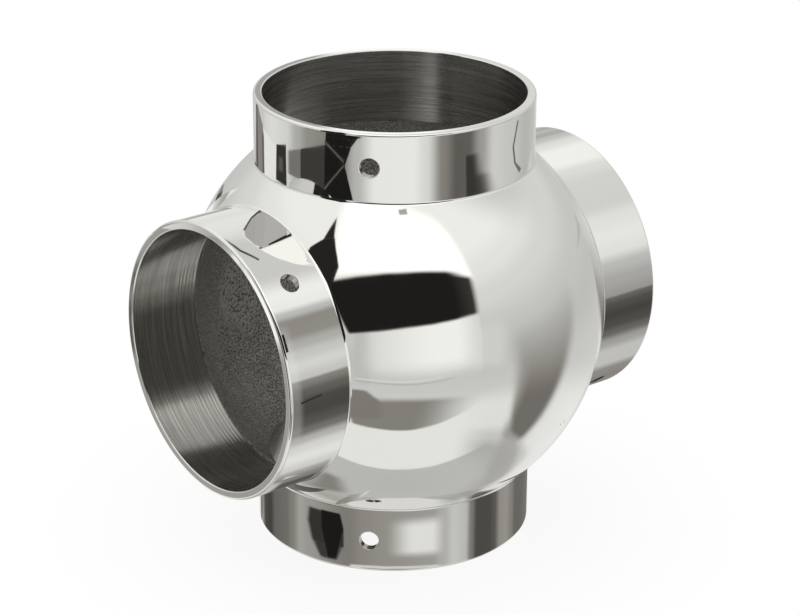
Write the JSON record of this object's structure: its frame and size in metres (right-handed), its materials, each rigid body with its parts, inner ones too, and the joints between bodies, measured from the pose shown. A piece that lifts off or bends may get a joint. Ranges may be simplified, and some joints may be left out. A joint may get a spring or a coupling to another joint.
{
  "type": "ball cross tube fitting",
  "caption": "Hollow polished steel ball with tube sockets in a cross, each with a short collar and a small side hole, for joining round rail tubes at right angles.",
  "frame": {"origin": "centre of the ball, where the axes of all the sockets cross", "axes": "+Z out of the upper socket, +X out of the right socket, -Y the front, the side that the picture shows and that the side holes are on"},
  "size_m": [0.09, 0.0832, 0.09],
  "materials": {
    "polished_steel": "mirror-polished outside, fine turned rings in the sockets, grainy as-cast inside the ball"
  },
  "bodies": {
    "root": {"fitting_body": "polished_steel"}
  },
  "joints": []
}
